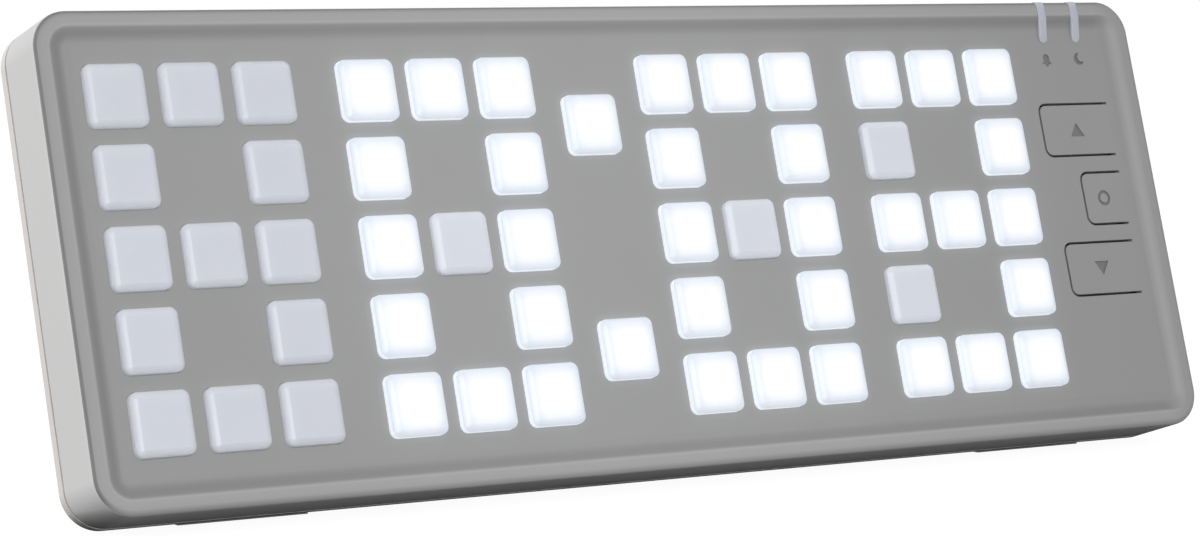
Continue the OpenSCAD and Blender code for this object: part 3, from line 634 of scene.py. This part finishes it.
holeSide = digits["side"] + 2 * digits["fit"]
hole = plate("hole", (holeSide, holeSide), digits["corner"] + digits["fit"],
             digits["holeFrom"], digits["holeTo"], steps=digits["steps"])
clearSelection()
cutters = []
for firstX in digits["firstX"]:
    cutters += [copyTo(hole, firstX + c * digits["pitch"], r * digits["pitch"]) for c, r in cells]
cutters += [copyTo(hole, colon["x"], z) for z in colon["z"]]
cutters += [tabOutline("tabHole", i, 0, tabs["corner"], digits["holeFrom"], digits["holeTo"])
            for i in range(len(tabs["rows"]))]
bpy.data.objects.remove(hole)
boolean(front, joinAll(cutters, "faceHoles"))
bedWidth = strips["width"] + 2 * strips["fit"]
bedTop = slab["height"] / 2 + strips["over"]
bedMiddle = (bedTop + strips["low"]) / 2
for x in strips["x"]:
    bed = plate("bed", (bedWidth, bedTop - strips["low"]), bedWidth / 2 - near, *strips["bed"],
                centre=(x, bedMiddle), corners=lambda co: co.z < bedMiddle)
    boolean(front, bed)
    bedHook = block("bedHook", (x - bedWidth / 2, slab["panelBack"], slab["height"] / 2 - strips["hook"]),
                    (x + bedWidth / 2, strips["back"] + strips["fit"], bedTop))
    boolean(front, bedHook)
alarmX, snoozeX = strips["x"]
symbolDepth = (symbols["front"], symbols["back"])
bell = peg("bell", symbols["dome"], *symbolDepth, (alarmX, symbols["z"] + symbols["domeUp"]),
           facets["small"])
for low, high in symbols["bellParts"]:
    bellPart = block("bellPart", (alarmX + low[0], symbols["front"], symbols["z"] + low[1]),
                     (alarmX + high[0], symbols["back"], symbols["z"] + high[1]))
    boolean(bell, bellPart, "UNION")
clapper = peg("clapper", symbols["clapper"], *symbolDepth, (alarmX, symbols["z"] - symbols["clapperDown"]),
              facets["clapper"])
boolean(bell, clapper, "UNION")
boolean(front, bell)
moon = peg("moon", symbols["moon"], *symbolDepth, (snoozeX, symbols["z"]), facets["bore"])
biteX, biteZ = symbols["biteAt"]
boolean(moon, peg("bite", symbols["bite"], *symbols["biteDepth"], (snoozeX + biteX, symbols["z"] + biteZ),
                  facets["bore"]))
boolean(front, moon)


def holeRim(a, b, one, two):
    if max(abs(a.y - slab["panel"]), abs(b.y - slab["panel"])) > near:
        return False
    leftmost, lowest = min(a.x, b.x), min(a.z, b.z)
    nearSymbols = leftmost > symbols["cornerAt"][0] and lowest > symbols["cornerAt"][1]
    if leftmost > slab["hingeX"] - near or nearSymbols:
        return False
    oneFlat = (one.y < -turn["flat"]) != (two.y < -turn["flat"])
    return oneFlat and min(abs(one.y), abs(two.y)) < turn["wall"]


def partingEdge(a, b, one, two):
    outer = max(abs(a.x) / (slab["width"] / 2), abs(a.z) / (slab["height"] / 2)) > shell["outer"]
    return outer and min(a.y, b.y) > slab["part"] - near and min(abs(one.y), abs(two.y)) < turn["square"]


soften(front, holeRim, shell["holeSoft"])
soften(front, partingEdge, shell["partSoft"])


def postPiece(x, z, end):
    post = peg("post", shell["postR"], slab["panelBack"] - slab["rooted"], end, (x, z), facets["bore"])
    openFaces(post, facesBack)
    stepIn([(shell["postR"] - shell["boreR"], 0)])
    pull(-min(shell["boreDeep"], end - slab["panelBack"] - shell["boreFloor"]))
    clearSelection()
    return post


posts = [postPiece(x, z, shell["casePostEnd"]) for x, z in shell["casePosts"]]
posts += [postPiece(x, z, shell["boardPostEnd"]) for x, z in shell["boardPosts"]]
front = joinAll([front] + posts, "frontShell")


def isSymbol(centre, normal):
    return abs(centre.y - symbols["back"]) < near and facesFront(centre, normal)


def shellTone(centre, normal):
    if fromEdge(centre) < shell["sideTo"] or normal.y > turn["back"]:
        return 1
    return 2 if isSymbol(centre, normal) else 0


paint(front, (rimPlastic, sidePlastic, markPaint), shellTone)
# inward drives the painted shading of the front and is raised on the underside to keep its painted dark edge
# line off there; toRight blends in the right end's painted shading; under paints shade on the underside,
# darker towards the back
for layerName in ("inward", "toRight", "under"):
    front.data.attributes.new(layerName, "FLOAT", "POINT")
layers = front.data.attributes
for vert in front.data.vertices:
    spot = vert.co / mm
    turned = turnedUnder(spot)
    backwards = min(spot.y / slab["part"], 1)
    layers["inward"].data[vert.index].value = max(fromEdge(spot), shell["noLine"] * turned)
    layers["toRight"].data[vert.index].value = (spot.x - shell["rightFrom"]) / shell["rightOver"]
    layers["under"].data[vert.index].value = turned * (
        shell["underFront"] + (1 - shell["underFront"]) * backwards)
settle(front, "case", "front_housing")
print("front shell done")

for i, row in enumerate(tabs["rows"]):
    tab = tabOutline(tabs["pieces"][i], i, tabs["slot"], tabs["corner"] - tabs["slot"], slab["panelBack"],
                     slab["panel"])
    clearSelection()
    middle = slab["hingeX"] - tabs["lengths"][i] / 2
    gapLow = (slab["hingeX"] - tabs["webLength"], slab["panel"] + tabs["web"], row - tabs["gapZ"])
    gapHigh = (slab["hingeX"] + tabs["gapOver"], tabs["gapBack"], row + tabs["gapZ"])
    boolean(tab, block("webGap", gapLow, gapHigh))
    markFront, markBack = slab["panel"] - tabs["markOut"], symbols["back"]
    if tabs["pieces"][i] == "modeTab":
        mark = peg("mark", tabs["ring"][0], markFront, markBack, (middle, row), facets["bore"])
        ringBore = peg("ringBore", tabs["ring"][1], markFront - tabs["markOut"], markBack + tabs["markOut"],
                       (middle, row), facets["bore"])
        boolean(mark, ringBore)
    else:
        up = 1 if tabs["pieces"][i] == "upTab" else -1
        halfWide, halfHigh = tabs["arrow"]
        mark = block("mark", (middle - halfWide, markFront, row - halfHigh),
                     (middle + halfWide, markBack, row + halfHigh))
        openVerts(mark, lambda co: (co.z - row) * up > 0)
        bpy.ops.transform.resize(value=(tabs["arrowTip"], 1, 1), center_override=(middle * mm, 0, row * mm))
        bpy.ops.mesh.select_all(action="SELECT")
        bpy.ops.mesh.remove_doubles(threshold=near * mm)
    boolean(tab, mark)

    def tabRim(a, b, one, two):
        outside = max(abs(a.x - middle), abs(a.z - row)) > tabs["markClear"]
        onPanel = max(a.y, b.y) < slab["panel"] + near and min(a.x, b.x) < slab["hingeX"] - near
        return outside and onPanel and (one.y < -turn["flat"]) != (two.y < -turn["flat"])

    soften(tab, tabRim, tabs["soft"])
    post = peg("tabPost", tabs["postR"], slab["panelBack"] - slab["rooted"], tabs["postEnd"],
               (tabs["posts"][i], row), facets["small"])
    soften(post, lambda a, b, one, two: min(a.y, b.y) > tabs["postEnd"] - near, tabs["postSoft"])
    tab = joinAll([tab, post], tabs["pieces"][i])
    paint(tab, (casePlastic, markPaint), lambda centre, normal: int(isSymbol(centre, normal)))
    settle(tab, tabs["bodies"][i], tabs["nodes"][i])
print("tabs done")

rear = {
    "jointDeep": 0.7, "seam": 0.05, "lip": (1.45, 1.55, 1.2), "floor": 13.0, "edgeSteps": 6, "soft": 0.2,
    "inside": 12, "out": 16, "farOut": 16.5, "lugX": (22.4, 27.4), "lugDepth": (11.6, 13.4), "lugZ": 2.6,
    "recess": ((-22.4, 12.6, -40.15), (22.4, 16, 29.25)),
    "pocket": ((-22.4, 11.6, 25.15), (22.4, 16, 30.23)),
    "tub": ((-23.6, 11.4, -37.25), (23.6, 13.4, 29.25)),
    "pocketTub": ((-23.6, 10.4, 23.95), (23.6, 13.4, 31.43)),
    "pinDepth": 13.4, "pinZ": 28.25, "pinHole": (0.82, 51.8), "fingerZ": -34.75, "fingerCut": (1.6, 58),
    "screwHole": 1.1, "headHole": 2.0, "headDepth": 13.9, "postHole": 2.25, "postFrom": 9.9,
    "inlet": (-79, -19.75), "inletSize": (9.7, 4.0), "inletCorner": 1.9, "inletSteps": 10,
    "doorAt": (75, 0), "doorR": 12.15, "doorSeat": 14.0, "doorNeck": 11.15,
    "notchR": 3.0, "notchDepth": 14.2,
    "soundAt": (-47.9, 17.68), "soundR": 0.7, "soundRing": 2.6, "soundCount": 6,
    "padX": (71, 95), "padDepth": (13.7, 15.2), "padZ": (-44, -40.35),
}
cover = plate("rearShell", (slab["width"], slab["height"]), slab["corner"], slab["part"] + slab["jointGap"],
              slab["depth"] - slab["edge"], steps=slab["cornerSteps"])
stepIn(rollOver(slab["edge"], slab["edge"], rear["edgeSteps"]))
openFaces(cover, facesFront)
stepIn([(rear["jointDeep"], 0)])
pull(rear["seam"] - slab["jointGap"])
lipIn, lipOut, lipWide = rear["lip"]
stepIn([(lipIn, 0)])
pull(-lipOut)
stepIn([(lipWide, 0)])
pull(rear["floor"] - slab["part"] - rear["seam"] + lipOut)
clearSelection()
boolean(cover, block("tub", *rear["tub"]), "UNION")
boolean(cover, block("pocketTub", *rear["pocketTub"]), "UNION")
for side in (-1, 1):
    ends = sorted(side * x for x in rear["lugX"])
    lug = block("lug", (ends[0], rear["lugDepth"][0], rear["pinZ"] - rear["lugZ"]),
                (ends[1], rear["lugDepth"][1], rear["pinZ"] + rear["lugZ"]))
    boolean(cover, lug, "UNION")
boolean(cover, block("recess", *rear["recess"]))
boolean(cover, block("pocket", *rear["pocket"]))
boolean(cover, crossRod("pinHole", *rear["pinHole"], rear["pinDepth"], rear["pinZ"], facets["bore"]))
boolean(cover, crossRod("fingerCut", *rear["fingerCut"], slab["depth"], rear["fingerZ"]))
for spot in shell["casePosts"]:
    boolean(cover, peg("screwHole", rear["screwHole"], rear["inside"], rear["out"], spot, facets["small"]))
    boolean(cover, peg("headHole", rear["headHole"], rear["headDepth"], rear["farOut"], spot, facets["head"]))
    boolean(cover, peg("postHole", rear["postHole"], rear["postFrom"], rear["floor"], spot, facets["bore"]))
inlet = plate("inlet", rear["inletSize"], rear["inletCorner"], rear["inside"], rear["out"],
              centre=rear["inlet"], steps=rear["inletSteps"])
clearSelection()
boolean(cover, inlet)
notchAt = (rear["doorAt"][0], -rear["doorR"])
boolean(cover, peg("doorSeat", rear["doorR"], rear["doorSeat"], rear["out"], rear["doorAt"], facets["lid"]))
boolean(cover, peg("doorNeck", rear["doorNeck"], rear["inside"], rear["farOut"], rear["doorAt"],
                   facets["lid"]))
boolean(cover, peg("notch", rear["notchR"], rear["notchDepth"], rear["out"], notchAt))
soundSpots = [(0, 0)]
for k in range(rear["soundCount"]):
    angle = 2 * math.pi * k / rear["soundCount"]
    soundSpots.append((rear["soundRing"] * math.cos(angle), rear["soundRing"] * math.sin(angle)))
for x, z in soundSpots:
    soundAt = (rear["soundAt"][0] + x, rear["soundAt"][1] + z)
    boolean(cover, peg("sound", rear["soundR"], rear["inside"], rear["out"], soundAt, facets["sound"]))
for side in (-1, 1):
    ends = sorted(side * x for x in rear["padX"])
    corners = list(zip(ends, rear["padDepth"], rear["padZ"]))
    boolean(cover, block("padBed", *corners))


def backRim(a, b, one, two):
    oneFlat = (one.y > turn["flat"]) != (two.y > turn["flat"])
    return oneFlat and min(a.y, b.y) > slab["depth"] - near and min(one.y, two.y) < turn["wall"]


soften(cover, backRim, rear["soft"])
paint(cover, (coverPlastic, coverSide), lambda centre, normal: int(
    fromEdge(centre) < slab["edge"] and abs(normal.y) < turn["facing"]))
# painted shade on the cover where it turns under at the bottom
coverUnder = cover.data.attributes.new("under", "FLOAT", "POINT")
for vert in cover.data.vertices:
    coverUnder.data[vert.index].value = turnedUnder(vert.co / mm)
settle(cover, "case", "rear_cover")
print("rear shell done")

# leg frame: the pin in the middle, y to its back, z along it
leg = {
    "width": 44.0, "front": -0.4, "back": 1.6, "top": 1.85, "bottom": -65.5,
    "corner": 8.0, "cornerSteps": 10, "barrel": 1.5, "bore": 0.85, "boreOver": 2, "heelFront": -0.5,
    "edge": 0.35, "edgeSteps": 3, "open": 25.612, "stop": 1.9, "stopDepth": (-4, 6), "stopTop": 8,
    "thumb": (18.0, 5.0), "thumbCorner": 2.4, "thumbZ": -51.0, "thumbDeep": 0.5, "thumbOut": 1,
}
legPlace = (slabPlace @ Matrix.Translation(Vector((0, rear["pinDepth"], rear["pinZ"])) * mm)
            @ Matrix.Rotation(math.radians(leg["open"]), 4, "X"))
stand = plate("standLeg", (leg["width"], leg["top"] - leg["bottom"]), leg["corner"],
              leg["front"], leg["back"], centre=(0, (leg["top"] + leg["bottom"]) / 2),
              steps=leg["cornerSteps"], corners=lambda co: co.z < 0)
clearSelection()
thumb = plate("thumb", leg["thumb"], leg["thumbCorner"], leg["back"] - leg["thumbDeep"],
              leg["back"] + leg["thumbOut"], centre=(0, leg["thumbZ"]))
clearSelection()
boolean(stand, thumb)


def legRim(a, b, one, two):
    squareEdge = abs(one.y) + abs(two.y) > turn["facing"] and min(abs(one.y), abs(two.y)) < turn["wall"]
    return squareEdge and max(a.z, b.z) < leg["top"] - near


soften(stand, legRim, leg["edge"], leg["edgeSteps"])
boolean(stand, crossRod("barrel", leg["barrel"], leg["width"], 0, 0), "UNION")
heel = block("heel", (-leg["width"] / 2, leg["heelFront"], 0),
             (leg["width"] / 2, leg["front"] + slab["rooted"], leg["top"]))
boolean(stand, heel, "UNION")
boolean(stand, crossRod("bore", leg["bore"], leg["width"] + leg["boreOver"], 0, 0, facets["bore"]))
stop = block("stop", (-leg["width"], leg["stopDepth"][0], leg["stop"]),
             (leg["width"], leg["stopDepth"][1], leg["stopTop"]))
stop.data.transform(Matrix.Rotation(math.radians(-leg["open"]), 4, "X"))
boolean(stand, stop)
paint(stand, (coverPlastic,), lambda centre, normal: 0)
settle(stand, "leg", "stand", place=legPlace)

door = {
    "radius": 12.0, "neck": 11.0, "from": 12.7, "seat": 14.0, "neckIn": 0.5, "edge": 0.25, "edgeSteps": 3,
    "slot": (10.0, 1.5), "slotCorner": 0.7, "slotSteps": 6, "slotFloor": 14.4,
}
lid = peg("cellDoor", door["radius"], door["seat"], slab["depth"], rear["doorAt"], facets["lid"])
neck = peg("neck", door["neck"], door["from"], door["seat"] + door["neckIn"], rear["doorAt"], facets["lid"])
boolean(lid, neck, "UNION")
soften(lid, lambda a, b, one, two: min(a.y, b.y) > slab["depth"] - near, door["edge"], door["edgeSteps"])
groove = plate("coinSlot", door["slot"], door["slotCorner"], door["slotFloor"], rear["out"],
               centre=rear["doorAt"], steps=door["slotSteps"])
clearSelection()
boolean(lid, groove)
paint(lid, (coverPlastic,), lambda centre, normal: 0)
settle(lid, "door", "battery_door")
print("leg and door done")

cadFinish = {
    "light_shield": blackPlastic, "main_board": boardLaminate, "display_leds": lampResin,
    "indicator_leds": lampResin, "alarm_light_pipe": stripMilk, "snooze_light_pipe": stripMilk,
    "switch_bodies": blackPlastic, "up_plunger": plungerPlastic, "mode_plunger": plungerPlastic,
    "down_plunger": plungerPlastic, "clock_chip": blackPlastic, "driver_chips": blackPlastic,
    "crystal": platedMetal, "capacitors": canMetal, "buzzer": blackPlastic, "power_socket": platedMetal,
    "power_tongue": blackPlastic, "cell_holder": blackPlastic, "cell_clip": platedMetal,
    "coin_cell": canMetal, "stand_pin": platedMetal, "stand_pad": padRubber, "base_pads": padRubber,
    "case_screws": screwMetal, "board_screws": screwMetal,
}
for nodeName, finish in cadFinish.items():
    mesh = frame["nodes"][nodeName].data
    mesh.materials.clear()
    mesh.materials.append(finish)
bpy.data.objects.remove(pad)
print("kept nodes painted")


def backdropRays(nodes, links):
    path = nodes.new("ShaderNodeLightPath")
    total = path.outputs["Is Camera Ray"]
    for other in ("Is Glossy Ray", "Is Transmission Ray"):
        both = nodes.new("ShaderNodeMath")
        both.operation = "MAXIMUM"
        links.new(total, both.inputs[0])
        links.new(path.outputs[other], both.inputs[1])
        total = both.outputs[0]
    return total


# floor, light and camera, in m
studio = {
    "floorSize": 6, "floorTone": (0.15, 0.15, 0.15, 1), "floorRough": 0.9, "floorGloss": 0.1,
    "floorGlow": 0.94, "white": (1, 1, 1, 1), "worldLight": 0.42, "worldSeen": 1.0, "aim": (0, 0, 0.04),
    "lamps": {
        "keyLeft": {"at": (-1.15, 0.65, 0.45), "size": 0.9, "power": 11.6},
        "frontFill": {"at": (-0.25, -1.0, 0.3), "size": 0.7, "power": 7.4},
    },
}
clearSelection()
bpy.ops.mesh.primitive_plane_add(size=studio["floorSize"], location=(0, 0, 0))
floor = bpy.context.object
floor.name = "floor"
floorPaint, floorNodes, floorLinks, floorShader = newMaterial("floorPaint")
floorShader.inputs["Base Color"].default_value = studio["floorTone"]
floorShader.inputs["Roughness"].default_value = studio["floorRough"]
floorShader.inputs["Specular IOR Level"].default_value = studio["floorGloss"]
glow = floorNodes.new("ShaderNodeMath")
glow.operation = "MULTIPLY"
glow.inputs[1].default_value = studio["floorGlow"]
floorLinks.new(backdropRays(floorNodes, floorLinks), glow.inputs[0])
floorShader.inputs["Emission Color"].default_value = studio["white"]
floorLinks.new(glow.outputs[0], floorShader.inputs["Emission Strength"])
floor.data.materials.append(floorPaint)

world = bpy.data.worlds.new("studio")
bpy.context.scene.world = world
world.use_nodes = True
worldNodes, worldLinks = world.node_tree.nodes, world.node_tree.links
backdrop = worldNodes["Background"]
backdrop.inputs["Color"].default_value = studio["white"]
level = worldNodes.new("ShaderNodeMapRange")
level.inputs["To Min"].default_value = studio["worldLight"]
level.inputs["To Max"].default_value = studio["worldSeen"]
worldLinks.new(backdropRays(worldNodes, worldLinks), level.inputs["Value"])
worldLinks.new(level.outputs["Result"], backdrop.inputs["Strength"])

for lampName, facts in studio["lamps"].items():
    clearSelection()
    bpy.ops.object.light_add(type="AREA", location=facts["at"])
    lamp = bpy.context.object
    lamp.name = lampName
    lamp.data.size = facts["size"]
    lamp.data.energy = facts["power"]
    towards = Vector(studio["aim"]) - Vector(facts["at"])
    lamp.rotation_euler = towards.to_track_quat("-Z", "Y").to_euler()

lens = {
    "length": 110.97, "sensor": 36, "nearest": 0.01,
    "at": (-0.36006, -0.5506, 0.09226), "turn": (85.22, 0, -32.67),
}
clearSelection()
bpy.ops.object.camera_add(location=lens["at"], rotation=[math.radians(a) for a in lens["turn"]])
camera = bpy.context.object
camera.data.lens = lens["length"]
camera.data.sensor_width = lens["sensor"]
camera.data.clip_start = lens["nearest"]
bpy.context.scene.camera = camera
bpy.context.scene.view_settings.view_transform = "Standard"
print("stage set")
